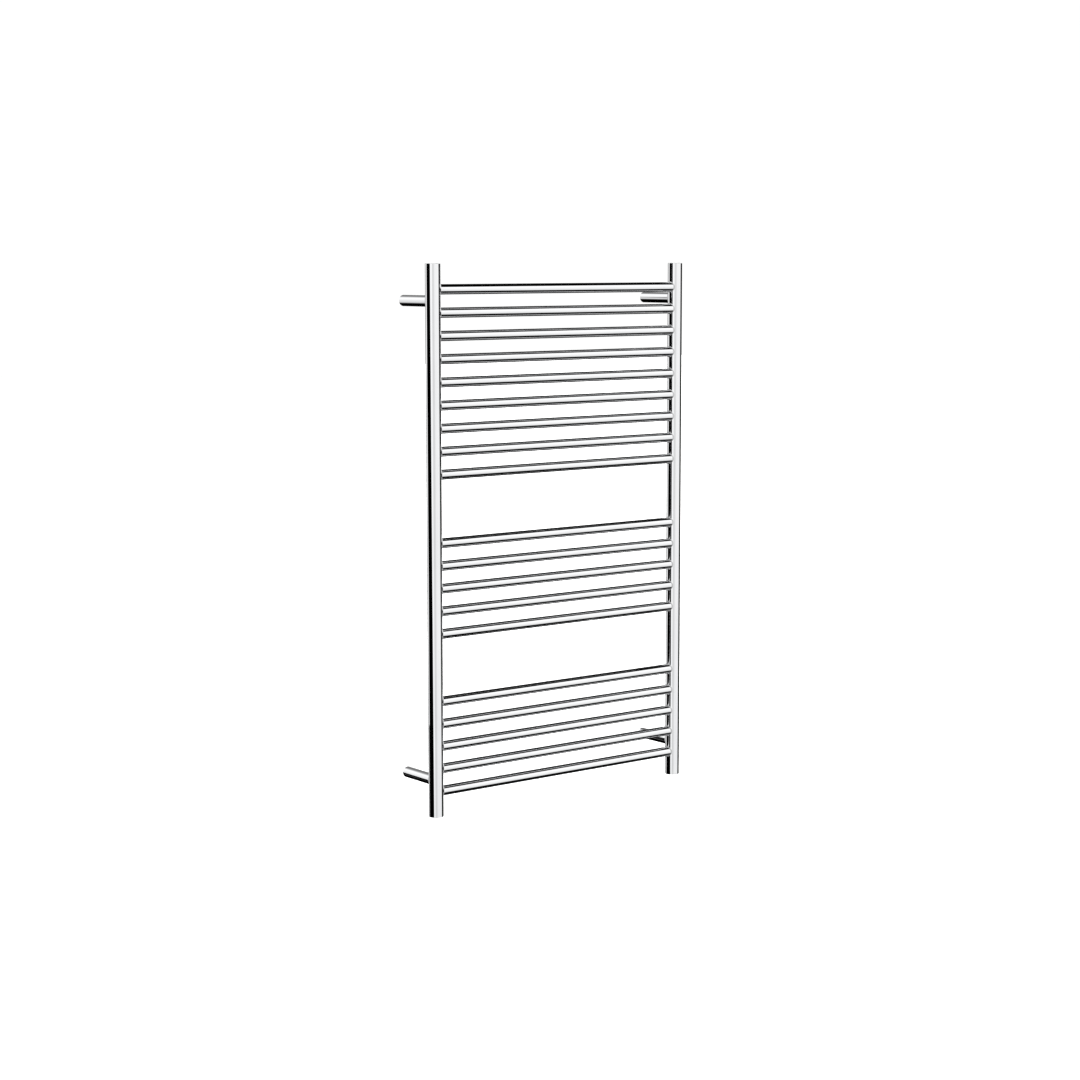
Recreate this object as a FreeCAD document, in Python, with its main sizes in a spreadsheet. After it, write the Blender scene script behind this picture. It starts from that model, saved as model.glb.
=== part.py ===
import FreeCAD, Part
import math
import os
import Sketcher

# A wall-hung electric ladder towel warmer: two round posts, nineteen round rungs in groups of
# nine, five and five, and four round standoff brackets that slide over turned wall spigots.
#
# Row frame, millimetres: +X to the right seen from the room, +Y into the wall, +Z up. The origin
# is on the wall plane, at the centre of the four wall fixings. Left and right are as seen from
# the room.

Vector = FreeCAD.Vector
SAME_PLACE = 1e-6
ON_SURFACE = 1e-3

SIZES = (
    ("PostSpacing", 620.0, "between the two post axes"),
    ("PostLength", 1090.0, "post with both end caps"),
    ("PostDiameter", 30.0, "post tube, outside"),
    ("PostWall", 1.5, "post tube wall"),
    ("CapThickness", 2.0, "end cap disc beyond the post tube"),
    ("CapPlugDepth", 4.0, "end cap plug inside the post tube"),
    ("CapPlugGap", 0.05, "radial gap of the plug in the post tube"),
    ("CapEdgeRadius", 0.8, "rounding of the end cap's rim"),
    ("BarDiameter", 20.0, "rung tube, outside"),
    ("BarWall", 1.2, "rung tube wall"),
    ("BarPitch", 45.0, "between neighbouring rung axes"),
    ("EndMargin", 50.0, "post end to the nearest rung axis"),
    ("BarEndInset", 8.0, "post axis to the rung's end, inside the post"),
    ("GroupGapPitches", 3, "rung pitches from one group to the next"),
    ("BarsTop", 9, "rungs in the top group"),
    ("BarsMiddle", 5, "rungs in the middle group"),
    ("BarsBottom", 5, "rungs in the bottom group"),
    ("WeldLeg", 1.8, "flat weld fillet at every tube joint, along both tubes"),
    ("WallDistance", 100.0, "post axis to the wall"),
    ("BracketInset", 72.5, "post end to the nearest bracket axis"),
    ("BracketDiameter", 22.0, "bracket sleeve, outside"),
    ("BracketWall", 2.5, "bracket sleeve wall"),
    ("SpigotGap", 0.05, "radial gap of the spigot in the sleeve"),
    ("SpigotLength", 30.0, "spigot from the wall plane"),
    ("SpigotNose", 0.6, "chamfer at the spigot's free end"),
    ("GrooveDepth", 1.5, "clamping groove of the spigot"),
    ("GrooveWidth", 7.0, "clamping groove of the spigot"),
    ("FixingHole", 5.5, "wall screw hole through the spigot"),
    ("FixingHead", 10.4, "countersink for the wall screw"),
    ("ChannelWidth", 7.5, "supply wire channel along the wired spigot"),
    ("ChannelFloor", 4.85, "spigot axis to the channel's floor"),
    ("GrubInset", 15.0, "wall plane to the grub screw axis"),
    ("GrubDiameter", 5.0, "grub screw, over the thread"),
    ("GrubGap", 0.05, "radial gap of the grub screw in its hole"),
    ("GrubLength", 4.0, "grub screw"),
    ("GrubTip", 0.9, "cone of the grub screw's point"),
    ("GrubTipDiameter", 3.0, "flat of the grub screw's point"),
    ("GrubSocket", 2.5, "hexagon socket, across flats"),
    ("GrubSocketDepth", 2.0, "hexagon socket"),
    ("WireHole", 12.0, "hole in the wired post's rear wall"),
    ("CableDiameter", 5.0, "heating cable and cold lead"),
    ("CableBend", 22.5, "bend of the heating cable between rungs"),
    ("CableReach", 320.0, "centre plane to the cable's outer run in a post"),
    ("LeadOffset", 8.0, "the rising lead in front of the post axis"),
    ("LeadBend", 18.0, "bend of the lead behind the wire hole"),
    ("RiserBend", 30.0, "gentle bend of the rising cable below the first rung"),
    ("GrommetBore", 5.6, "grommet, inside"),
    ("GrommetGap", 0.05, "radial gap of the grommet in the wire hole"),
    ("GrommetOuterFlange", 14.5, "grommet flange in the bracket"),
    ("GrommetInnerFlange", 14.0, "grommet flange in the post"),
    ("GrommetFlangeDepth", 1.5, "thickness of both grommet flanges"),
    ("GrommetGrip", 3.5, "between the grommet's flanges"),
    ("TerminalWidth", 13.4, "terminal block"),
    ("TerminalHeight", 10.2, "terminal block"),
    ("TerminalLength", 18.0, "terminal block"),
    ("TerminalFromWall", 46.0, "wall plane to the terminal block"),
    ("PortDiameter", 3.0, "wire port of the terminal block"),
    ("PortPitch", 4.2, "between wire ports"),
    ("PortDepth", 9.0, "wire port of the terminal block"),
    ("CutoutLow", 24.0, "lower end of the thermal cut-out, above the origin"),
    ("CutoutDiameter", 8.0, "thermal cut-out in the lead"),
    ("CutoutLength", 24.0, "thermal cut-out in the lead"),
    ("SpliceDiameter", 9.0, "splice from the lead to the heating cable"),
    ("SpliceLength", 40.0, "splice from the lead to the heating cable"),
    ("FerruleNose", 2.5, "taper at both ends of the cut-out, the splice and the seal"),
    ("SealDiameter", 8.0, "end seal of the heating cable"),
    ("SealLength", 16.0, "end seal of the heating cable"),
    ("SealReach", 317.0, "centre plane to the end seal's axis"),
    ("SealDrop", 25.0, "last rung axis down to the end seal"),
)

doc = FreeCAD.newDocument("towel_warmer")
sheet = doc.addObject("Spreadsheet::Sheet", "Sizes")
for row, (alias, amount, note) in enumerate(SIZES, start=1):
    sheet.set(f"A{row}", note)
    sheet.set(f"B{row}", str(amount))
    sheet.setAlias(f"B{row}", alias)
doc.recompute()

subparts = []


def size(alias):
    """The value of one cell of the sheet."""
    return float(sheet.get(alias))


def value(expression):
    """The value of an expression of the sheet's cells."""
    return float(sheet.evalExpression(expression))


def add_subpart(obj, name):
    """Names a finished sub-part and lists it for export."""
    obj.Label = name
    subparts.append(obj)
    return obj


def place(obj, across=None, along=None, up=None):
    """Binds the parts of an object's position that aren't zero."""
    for cell, expression in (("x", across), ("y", along), ("z", up)):
        if expression is not None:
            obj.setExpression(f"Placement.Base.{cell}", expression)


# --- sketches -----------------------------------------------------------------------------------


def new_body(name):
    return doc.addObject("PartDesign::Body", name)


def new_sketch(body, name, role):
    """A sketch on one of the body's own origin planes."""
    plane = [f for f in body.Origin.OriginFeatures if f.Role == role][0]
    sketch = body.newObject("Sketcher::SketchObject", name)
    sketch.AttachmentSupport = [(plane, "")]
    sketch.MapMode = "FlatFace"
    return sketch


def bind(sketch, constraint, expression):
    """Adds a constraint whose value is an expression of the sheet."""
    index = sketch.addConstraint(constraint)
    sketch.setExpression(f"Constraints[{index}]", expression)


def hold_point(sketch, geometry, point, across, up):
    """Ties one point of a sketch to expressions, or to an axis where the expression is None."""
    if across is None:
        sketch.addConstraint(Sketcher.Constraint("PointOnObject", geometry, point, -2))
    else:
        distance = value(across)
        constraint = Sketcher.Constraint("DistanceX", -1, 1, geometry, point, distance)
        bind(sketch, constraint, across)
    if up is None:
        sketch.addConstraint(Sketcher.Constraint("PointOnObject", geometry, point, -1))
    else:
        distance = value(up)
        constraint = Sketcher.Constraint("DistanceY", -1, 1, geometry, point, distance)
        bind(sketch, constraint, up)


def sketch_point(across, up):
    """The starting place of a sketched point."""
    x = 0.0 if across is None else value(across)
    y = 0.0 if up is None else value(up)
    return Vector(x, y, 0)


def add_circle(sketch, radius, across=None, up=None):
    """A circle with its radius and centre bound to expressions."""
    start = value(radius)
    circle = Part.Circle(sketch_point(across, up), Vector(0, 0, 1), start)
    geometry = sketch.addGeometry(circle, False)
    bind(sketch, Sketcher.Constraint("Radius", geometry, start), radius)
    hold_point(sketch, geometry, 3, across, up)


def add_outline(sketch, corners):
    """A closed outline of straight lines through corners given as pairs of expressions."""
    points = [sketch_point(across, up) for across, up in corners]
    count = len(points)
    lines = []
    for index in range(count):
        line = Part.LineSegment(points[index], points[(index + 1) % count])
        lines.append(sketch.addGeometry(line, False))
    for index in range(count):
        following = lines[(index + 1) % count]
        sketch.addConstraint(Sketcher.Constraint("Coincident", lines[index], 2, following, 1))
    for index, (across, up) in enumerate(corners):
        hold_point(sketch, lines[index], 1, across, up)


# --- features -----------------------------------------------------------------------------------


def pad(body, sketch, length, symmetric=False):
    feature = body.newObject("PartDesign::Pad", "pad")
    feature.Profile = sketch
    feature.SideType = "Symmetric" if symmetric else "One side"
    feature.setExpression("Length", length)
    return feature


def pocket_through(body, sketch):
    """Cuts the sketch through the whole body, on both sides of its plane."""
    feature = body.newObject("PartDesign::Pocket", "pocket")
    feature.Profile = sketch
    feature.SideType = "Symmetric"
    feature.Type = "ThroughAll"
    return feature


def pocket_side(body, sketch, length, reverse):
    """Cuts the sketch on one side of its plane: against the plane's normal, or along it."""
    feature = body.newObject("PartDesign::Pocket", "pocket")
    feature.Profile = sketch
    feature.Reversed = reverse
    feature.setExpression("Length", length)
    return feature


def revolve(body, sketch):
    """Turns a sketched half section about the sketch's vertical axis."""
    feature = body.newObject("PartDesign::Revolution", "revolution")
    feature.Profile = sketch
    feature.ReferenceAxis = (sketch, ["V_Axis"])
    feature.Angle = 360.0
    return feature


def tube_body(name, role, outer, inner, length, symmetric):
    """A body that starts as a round tube along the normal of one origin plane."""
    body = new_body(name)
    section = new_sketch(body, f"{name}_section", role)
    add_circle(section, outer)
    add_circle(section, inner)
    pad(body, section, length, symmetric)
    return body


# --- where things are ---------------------------------------------------------------------------

SIDES = {"left": -1, "right": 1}
LEVELS = {"upper": 1, "lower": -1}
WIRED = ("lower", "left")
POST_ALONG = "-Sizes.WallDistance"


def side_across(side):
    """The x of a post and its brackets."""
    return f"{SIDES[side]} * Sizes.PostSpacing / 2"


def level_up(level):
    """The z of a bracket."""
    return f"{LEVELS[level]} * (Sizes.PostLength / 2 - Sizes.BracketInset)"


def bar_steps():
    """How many pitches each rung is below the first one."""
    steps = []
    step = 0
    for group in ("BarsTop", "BarsMiddle", "BarsBottom"):
        count = int(size(group))
        steps += range(step, step + count)
        step += count - 1 + int(size("GroupGapPitches"))
    return steps


def bar_up(step):
    """The z of a rung."""
    return f"Sizes.PostLength / 2 - Sizes.EndMargin - {step} * Sizes.BarPitch"


def brackets():
    """Every bracket's level and side."""
    return [(level, side) for level in LEVELS for side in SIDES]


# --- posts, rungs and caps ----------------------------------------------------------------------


def make_post(side):
    """A post tube with a hole for every rung, and a wire hole in the wired one."""
    body = tube_body(
        f"post_{side}",
        "XY_Plane",
        "Sizes.PostDiameter / 2",
        "Sizes.PostDiameter / 2 - Sizes.PostWall",
        "Sizes.PostLength - 2 * Sizes.CapThickness",
        True,
    )
    holes = new_sketch(body, f"bar_holes_{side}", "YZ_Plane")
    for step in bar_steps():
        add_circle(holes, "Sizes.BarDiameter / 2", None, bar_up(step))
    pocket_side(body, holes, "Sizes.PostDiameter", side == "left")
    if side == WIRED[1]:
        wire = new_sketch(body, "wire_hole", "XZ_Plane")
        add_circle(wire, "Sizes.WireHole / 2", None, level_up(WIRED[0]))
        pocket_side(body, wire, "Sizes.PostDiameter", False)
    place(body, side_across(side), POST_ALONG)
    return add_subpart(body, f"post_{side}")


def make_bar(number, step):
    """One straight rung tube, its square ends just inside the posts."""
    name = f"bar_{number:02d}"
    body = tube_body(
        name,
        "YZ_Plane",
        "Sizes.BarDiameter / 2",
        "Sizes.BarDiameter / 2 - Sizes.BarWall",
        "Sizes.PostSpacing - 2 * Sizes.BarEndInset",
        True,
    )
    place(body, None, POST_ALONG, bar_up(step))
    return add_subpart(body, name)


def make_cap(end, side):
    """A flat welded end cap: a disc with a rounded rim and a plug in the post."""
    name = f"cap_{end}_{side}"
    body = new_body(name)
    section = new_sketch(body, f"{name}_section", "XZ_Plane")
    plug = "Sizes.PostDiameter / 2 - Sizes.PostWall - Sizes.CapPlugGap"
    corners = [
        (None, "-Sizes.CapPlugDepth"),
        (plug, "-Sizes.CapPlugDepth"),
        (plug, None),
        ("Sizes.PostDiameter / 2", None),
        ("Sizes.PostDiameter / 2", "Sizes.CapThickness"),
        (None, "Sizes.CapThickness"),
    ]
    add_outline(section, corners)
    disc = revolve(body, section)
    doc.recompute()
    rim = body.newObject("PartDesign::Fillet", "rim")
    rim.Base = (disc, [rim_edge(disc.Shape, size("PostDiameter") / 2, size("CapThickness"))])
    rim.setExpression("Radius", "Sizes.CapEdgeRadius")
    sign = "" if end == "top" else "-"
    if end == "bottom":
        body.Placement.Rotation = FreeCAD.Rotation(Vector(1, 0, 0), 180)
    place(
        body,
        side_across(side),
        POST_ALONG,
        f"{sign}(Sizes.PostLength / 2 - Sizes.CapThickness)",
    )
    return add_subpart(body, name)


def rim_edge(shape, radius, height):
    """The name of the round edge of a given radius at a given height."""
    for index, edge in enumerate(shape.Edges, start=1):
        curve = edge.Curve
        if isinstance(curve, Part.Circle) and abs(curve.Radius - radius) < SAME_PLACE:
            if abs(curve.Center.z - height) < SAME_PLACE:
                return f"Edge{index}"
    raise RuntimeError("no rim edge")


# --- welds --------------------------------------------------------------------------------------


def weld_ring(post_radius, branch_radius):
    """The flat fillet of weld metal where a branch tube leaves a post along +X."""
    tall = 4 * branch_radius
    post = Part.makeCylinder(post_radius, tall, Vector(0, 0, -tall / 2))
    branch = Part.makeCylinder(branch_radius, 2 * post_radius, Vector(), Vector(1, 0, 0))
    joined = post.fuse(branch)
    seam = [e for e in joined.Edges if on_both(e, post_radius, branch_radius)]
    welded = joined.makeChamfer(size("WeldLeg"), seam)
    return welded.cut(joined).Solids[0]


def on_both(edge, post_radius, branch_radius):
    """Whether an edge lies on both cylinders of a weld."""
    for parameter in (0.1, 0.5, 0.9):
        span = edge.LastParameter - edge.FirstParameter
        point = edge.valueAt(edge.FirstParameter + parameter * span)
        if abs(math.hypot(point.x, point.y) - post_radius) > ON_SURFACE:
            return False
        if abs(math.hypot(point.y, point.z) - branch_radius) > ON_SURFACE:
            return False
    return True


def make_bar_welds(side):
    """One ring of weld metal round every rung at one post."""
    ring = weld_ring(size("PostDiameter") / 2, size("BarDiameter") / 2)
    turn = 0 if side == "left" else 180
    rings = []
    for step in bar_steps():
        height = value(bar_up(step))
        copy = ring.copy()
        copy.Placement = FreeCAD.Placement(
            Vector(0, 0, height), FreeCAD.Rotation(Vector(0, 0, 1), turn)
        )
        rings.append(copy)
    feature = doc.addObject("Part::Feature", f"bar_welds_{side}")
    feature.Shape = Part.makeCompound(rings)
    place(feature, side_across(side), POST_ALONG)
    return add_subpart(feature, f"bar_welds_{side}")


def make_bracket_welds():
    """One ring of weld metal round every bracket sleeve at its post."""
    ring = weld_ring(size("PostDiameter") / 2, size("BracketDiameter") / 2)
    rings = []
    for level, side in brackets():
        across = value(side_across(side))
        height = value(level_up(level))
        copy = ring.copy()
        copy.Placement = FreeCAD.Placement(
            Vector(across, 0, height), FreeCAD.Rotation(Vector(0, 0, 1), 90)
        )
        rings.append(copy)
    feature = doc.addObject("Part::Feature", "bracket_welds")
    feature.Shape = Part.makeCompound(rings)
    place(feature, None, POST_ALONG)
    return add_subpart(feature, "bracket_welds")


# --- wall brackets ------------------------------------------------------------------------------
# A bracket's own frame: +Z away from the wall along its axis, +Y up.

FROM_WALL = FreeCAD.Rotation(Vector(1, 0, 0), 90)


def place_on_bracket(obj, level, side, from_wall=None):
    """Puts an object in a bracket's own frame, at a distance from the wall plane."""
    obj.Placement.Rotation = FROM_WALL
    along = None if from_wall is None else f"-({from_wall})"
    place(obj, side_across(side), along, level_up(level))


def make_sleeve(level, side):
    """A bracket sleeve: a tube coped onto the post, with a threaded hole on its underside."""
    name = f"bracket_sleeve_{level}_{side}"
    body = tube_body(
        name,
        "XY_Plane",
        "Sizes.BracketDiameter / 2",
        "Sizes.BracketDiameter / 2 - Sizes.BracketWall",
        "Sizes.WallDistance",
        False,
    )
    cope = new_sketch(body, f"{name}_cope", "XZ_Plane")
    add_circle(cope, "Sizes.PostDiameter / 2", None, "Sizes.WallDistance")
    pocket_through(body, cope)
    hole = new_sketch(body, f"{name}_hole", "XZ_Plane")
    add_circle(hole, "Sizes.GrubDiameter / 2 + Sizes.GrubGap", None, "Sizes.GrubInset")
    pocket_side(body, hole, "Sizes.BracketDiameter", True)
    place_on_bracket(body, level, side)
    return add_subpart(body, name)


def make_spigot(level, side):
    """A turned wall spigot with a countersunk screw hole and a clamping groove."""
    name = f"wall_spigot_{level}_{side}"
    body = new_body(name)
    section = new_sketch(body, f"{name}_section", "XZ_Plane")
    outer = "Sizes.BracketDiameter / 2 - Sizes.BracketWall - Sizes.SpigotGap"
    groove = f"{outer} - Sizes.GrooveDepth"
    near = "Sizes.GrubInset - Sizes.GrooveWidth / 2"
    far = "Sizes.GrubInset + Sizes.GrooveWidth / 2"
    sink = "(Sizes.FixingHead - Sizes.FixingHole) / 2"
    corners = [
        ("Sizes.FixingHole / 2", None),
        (outer, None),
        (outer, near),
        (groove, near),
        (groove, far),
        (outer, far),
        (outer, "Sizes.SpigotLength - Sizes.SpigotNose"),
        (f"{outer} - Sizes.SpigotNose", "Sizes.SpigotLength"),
        ("Sizes.FixingHead / 2", "Sizes.SpigotLength"),
        ("Sizes.FixingHole / 2", f"Sizes.SpigotLength - {sink}"),
    ]
    add_outline(section, corners)
    revolve(body, section)
    if (level, side) == WIRED:
        channel = new_sketch(body, f"{name}_channel", "XY_Plane")
        half = "Sizes.ChannelWidth / 2"
        corners = [
            (f"-{half}", "Sizes.ChannelFloor"),
            (half, "Sizes.ChannelFloor"),
            (half, "Sizes.BracketDiameter / 2"),
            (f"-{half}", "Sizes.BracketDiameter / 2"),
        ]
        add_outline(channel, corners)
        pocket_through(body, channel)
    place_on_bracket(body, level, side)
    return add_subpart(body, name)


def make_grub_screw(level, side):
    """A socket set screw, clamped up against the spigot; its plain shank stands for the thread."""
    name = f"grub_screw_{level}_{side}"
    shank = doc.addObject("Part::Cylinder", f"{name}_shank")
    shank.setExpression("Radius", "Sizes.GrubDiameter / 2")
    shank.setExpression("Height", "Sizes.GrubLength - Sizes.GrubTip")
    point = doc.addObject("Part::Cone", f"{name}_point")
    point.setExpression("Radius1", "Sizes.GrubDiameter / 2")
    point.setExpression("Radius2", "Sizes.GrubTipDiameter / 2")
    point.setExpression("Height", "Sizes.GrubTip")
    place(point, None, None, "Sizes.GrubLength - Sizes.GrubTip")
    blank = doc.addObject("Part::Fuse", f"{name}_blank")
    blank.Base = shank
    blank.Tool = point
    socket = doc.addObject("Part::Prism", f"{name}_socket")
    socket.Polygon = 6
    socket.setExpression("Circumradius", "Sizes.GrubSocket / 2 / cos(30)")
    socket.setExpression("Height", "Sizes.GrubSocketDepth")
    screw = doc.addObject("Part::Cut", name)
    screw.Base = blank
    screw.Tool = socket
    place(
        screw,
        side_across(side),
        "-Sizes.GrubInset",
        f"{level_up(level)} - Sizes.BracketDiameter / 2",
    )
    return add_subpart(screw, name)


# --- the heating element and its wiring ---------------------------------------------------------
# A twin-conductor cable needs no way back: it starts at a splice and ends in a seal.


def tangent_path(points, bends):
    """A wire of straight runs joined by tangent arcs, with one bend for each inner point."""
    edges = []
    start = points[0]
    for index, bend in enumerate(bends, start=1):
        corner = points[index]
        before = (corner - points[index - 1]).normalize()
        after = (points[index + 1] - corner).normalize()
        half_turn = before.getAngle(after) / 2
        reach = bend * math.tan(half_turn)
        inward = (after - before).normalize()
        arc_start = corner - before * reach
        arc_end = corner + after * reach
        arc_middle = corner + inward * (bend / math.cos(half_turn) - bend)
        if start.distanceToPoint(arc_start) > SAME_PLACE:
            edges.append(Part.LineSegment(start, arc_start).toShape())
        edges.append(Part.Arc(arc_start, arc_middle, arc_end).toShape())
        start = arc_end
    edges.append(Part.LineSegment(start, points[-1]).toShape())
    return Part.Wire(edges)


def make_cable(name, points, bends):
    """A round cable swept along straight runs and tangent arcs."""
    diameter = size("CableDiameter")
    path = tangent_path(points, bends)
    ring = Part.Circle(points[0], points[1] - points[0], diameter / 2).toShape()
    feature = doc.addObject("Part::Feature", name)
    feature.Shape = path.makePipeShell([Part.Wire([ring])], True, False)
    ratio = feature.Shape.Volume / (math.pi * diameter**2 / 4 * path.Length)
    print(f"{name}: {path.Length:.0f} mm long, bends from {min(bends):.1f} mm,", end=" ")
    print(f"volume {ratio:.4f} of its section times its length")
    return add_subpart(feature, name)


def lead_start():
    """Where the cold lead leaves the terminal block."""
    from_wall = size("TerminalFromWall") + size("TerminalLength")
    return Vector(value(side_across(WIRED[1])), -from_wall, value(level_up(WIRED[0])))


def lead_line(up):
    """A point of the rising lead, in front of the wired post's axis."""
    along = -size("WallDistance") - size("LeadOffset")
    return Vector(value(side_across(WIRED[1])), along, up)


def make_cold_lead():
    """The lead from the terminal block through the grommet and up to the cut-out."""
    points = [lead_start(), lead_line(lead_start().z), lead_line(size("CutoutLow"))]
    return make_cable("cold_lead", points, [size("LeadBend")])


def make_heating_cable():
    """Up the wired post, then to and fro through all the rungs from the top one down."""
    heights = [value(bar_up(step)) for step in bar_steps()]
    along = -size("WallDistance")
    reach = size("CableReach")
    bend = size("CableBend")
    splice_top = size("CutoutLow") + size("CutoutLength") + size("SpliceLength")
    points = [
        lead_line(splice_top),
        lead_line(heights[1] + size("CableDiameter")),
        Vector(-reach, along, heights[0]),
    ]
    bends = [size("RiserBend"), bend]
    across = reach
    for above, below in zip(heights, heights[1:]):
        points.append(Vector(across, along, above))
        points.append(Vector(across, along, below))
        bends += [bend, bend]
        across = -across
    seal_across = size("SealReach")
    points.append(Vector(seal_across, along, heights[-1]))
    points.append(Vector(seal_across, along, heights[-1] - size("SealDrop")))
    bends.append(seal_across - (reach - bend))
    return make_cable("heating_cable", points, bends)


def make_ferrule(name, diameter, length):
    """A tapered in-line sleeve on a cable, along the body's own Z axis."""
    body = new_body(name)
    section = new_sketch(body, f"{name}_section", "XZ_Plane")
    nose = "Sizes.CableDiameter / 2"
    corners = [
        (None, None),
        (nose, None),
        (f"{diameter} / 2", "Sizes.FerruleNose"),
        (f"{diameter} / 2", f"{length} - Sizes.FerruleNose"),
        (nose, length),
        (None, length),
    ]
    add_outline(section, corners)
    revolve(body, section)
    return add_subpart(body, name)


def make_cable_fittings():
    """The thermal cut-out, the splice above it and the seal on the cable's far end."""
    lead_along = "-(Sizes.WallDistance + Sizes.LeadOffset)"
    cutout = make_ferrule("thermal_cutout", "Sizes.CutoutDiameter", "Sizes.CutoutLength")
    place(cutout, side_across(WIRED[1]), lead_along, "Sizes.CutoutLow")
    splice = make_ferrule("cable_splice", "Sizes.SpliceDiameter", "Sizes.SpliceLength")
    above = "Sizes.CutoutLow + Sizes.CutoutLength"
    place(splice, side_across(WIRED[1]), lead_along, above)
    seal = make_ferrule("cable_end_seal", "Sizes.SealDiameter", "Sizes.SealLength")
    seal.Placement.Rotation = FreeCAD.Rotation(Vector(1, 0, 0), 180)
    last = bar_up(bar_steps()[-1])
    place(seal, "Sizes.SealReach", POST_ALONG, f"{last} - Sizes.SealDrop")


def make_grommet():
    """The rubber grommet in the wired post's wire hole."""
    body = new_body("wire_grommet")
    section = new_sketch(body, "wire_grommet_section", "XZ_Plane")
    bore = "Sizes.GrommetBore / 2"
    hub = "Sizes.WireHole / 2 - Sizes.GrommetGap"
    outer = "Sizes.GrommetOuterFlange / 2"
    inner = "Sizes.GrommetInnerFlange / 2"
    corners = [
        (bore, "-Sizes.GrommetFlangeDepth"),
        (outer, "-Sizes.GrommetFlangeDepth"),
        (outer, None),
        (hub, None),
        (hub, "Sizes.GrommetGrip"),
        (inner, "Sizes.GrommetGrip"),
        (inner, "Sizes.GrommetGrip + Sizes.GrommetFlangeDepth"),
        (bore, "Sizes.GrommetGrip + Sizes.GrommetFlangeDepth"),
    ]
    add_outline(section, corners)
    revolve(body, section)
    place_on_bracket(body, *WIRED, "Sizes.WallDistance - Sizes.PostDiameter / 2")
    return add_subpart(body, "wire_grommet")


def make_terminal_block():
    """The three-pole block that the installer's wires push into."""
    body = new_body("terminal_block")
    section = new_sketch(body, "terminal_block_section", "XY_Plane")
    half_width = "Sizes.TerminalWidth / 2"
    half_height = "Sizes.TerminalHeight / 2"
    corners = [
        (f"-{half_width}", f"-{half_height}"),
        (half_width, f"-{half_height}"),
        (half_width, half_height),
        (f"-{half_width}", half_height),
    ]
    add_outline(section, corners)
    pad(body, section, "Sizes.TerminalLength")
    ports = new_sketch(body, "terminal_block_ports", "XY_Plane")
    for across in ("-Sizes.PortPitch", None, "Sizes.PortPitch"):
        add_circle(ports, "Sizes.PortDiameter / 2", across, None)
    pocket_side(body, ports, "Sizes.PortDepth", True)
    place_on_bracket(body, *WIRED, "Sizes.TerminalFromWall")
    return add_subpart(body, "terminal_block")


# --- the whole rack -----------------------------------------------------------------------------


def build():
    for side in SIDES:
        make_post(side)
        make_bar_welds(side)
        for end in ("top", "bottom"):
            make_cap(end, side)
    for number, step in enumerate(bar_steps(), start=1):
        make_bar(number, step)
    make_bracket_welds()
    for level, side in brackets():
        make_sleeve(level, side)
        make_spigot(level, side)
        make_grub_screw(level, side)
    make_terminal_block()
    make_grommet()
    make_cold_lead()
    make_cable_fittings()
    make_heating_cable()


def check():
    """Stops before anything is written if an object failed or a sub-part isn't a sound solid."""
    for obj in doc.Objects:
        if "Invalid" in obj.State or "Error" in obj.State:
            raise RuntimeError(f"{obj.Label} failed: {obj.State}")
    for obj in subparts:
        if obj.Shape.isNull() or not obj.Shape.isValid() or not obj.Shape.Solids:
            raise RuntimeError(f"{obj.Label} has no sound solid")


build()
doc.recompute()
check()
os.makedirs("parts", exist_ok=True)
for obj in subparts:
    obj.Shape.exportStep(f"parts/{obj.Label}.step")
print(f"{len(subparts)} sub-parts written")
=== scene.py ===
import math

import bmesh
import bpy
from mathutils import Matrix, Vector


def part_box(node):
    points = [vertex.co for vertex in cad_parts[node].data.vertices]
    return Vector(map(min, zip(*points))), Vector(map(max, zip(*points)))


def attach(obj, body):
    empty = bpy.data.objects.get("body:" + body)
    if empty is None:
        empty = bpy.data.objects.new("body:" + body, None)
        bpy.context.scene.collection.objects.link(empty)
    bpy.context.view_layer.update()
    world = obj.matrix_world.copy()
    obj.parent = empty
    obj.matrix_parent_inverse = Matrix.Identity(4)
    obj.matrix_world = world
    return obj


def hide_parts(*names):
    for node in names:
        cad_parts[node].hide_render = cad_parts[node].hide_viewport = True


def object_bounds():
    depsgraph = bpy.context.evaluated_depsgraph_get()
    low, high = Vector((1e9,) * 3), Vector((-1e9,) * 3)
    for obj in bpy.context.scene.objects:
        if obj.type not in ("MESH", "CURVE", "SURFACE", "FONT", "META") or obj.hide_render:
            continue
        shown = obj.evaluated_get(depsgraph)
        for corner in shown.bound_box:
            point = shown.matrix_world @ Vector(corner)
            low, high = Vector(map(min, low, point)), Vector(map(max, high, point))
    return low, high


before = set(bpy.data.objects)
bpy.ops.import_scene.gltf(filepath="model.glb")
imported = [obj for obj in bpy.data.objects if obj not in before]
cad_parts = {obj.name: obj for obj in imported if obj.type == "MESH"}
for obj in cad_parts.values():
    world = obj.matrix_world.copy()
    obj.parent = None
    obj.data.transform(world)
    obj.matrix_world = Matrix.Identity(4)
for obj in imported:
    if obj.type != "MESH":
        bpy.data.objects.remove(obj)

# A wall-hung ladder towel warmer in mirror-polished steel tube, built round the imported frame.
# Metres throughout: +X right seen from the room, +Y into the wall, +Z up, the origin at the
# centre of the four wall fixings.

cad_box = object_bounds()

MM = 0.001
SIDES = ("left", "right")
ENDS = ("top", "bottom")
LEVELS = ("upper", "lower")
BARS = [f"bar_{number:02d}" for number in range(1, 20)]
BRACKETS = [(level, side) for level in LEVELS for side in SIDES]
WIRED = ("lower", "left")
RACK = "rack"

POST_WALL = 1.5 * MM
BAR_WALL = 1.2 * MM
SLEEVE_WALL = 2.5 * MM
WELD_LEG = 1.8 * MM
CAP_THICKNESS = 2.0 * MM
CAP_RIM = 0.8 * MM
SLEEVE_EDGE = 0.35 * MM
WIRE_HOLE_RADIUS = 6.0 * MM
GRUB_HOLE_RADIUS = 2.55 * MM
FIT_GAP = 0.05 * MM

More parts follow.
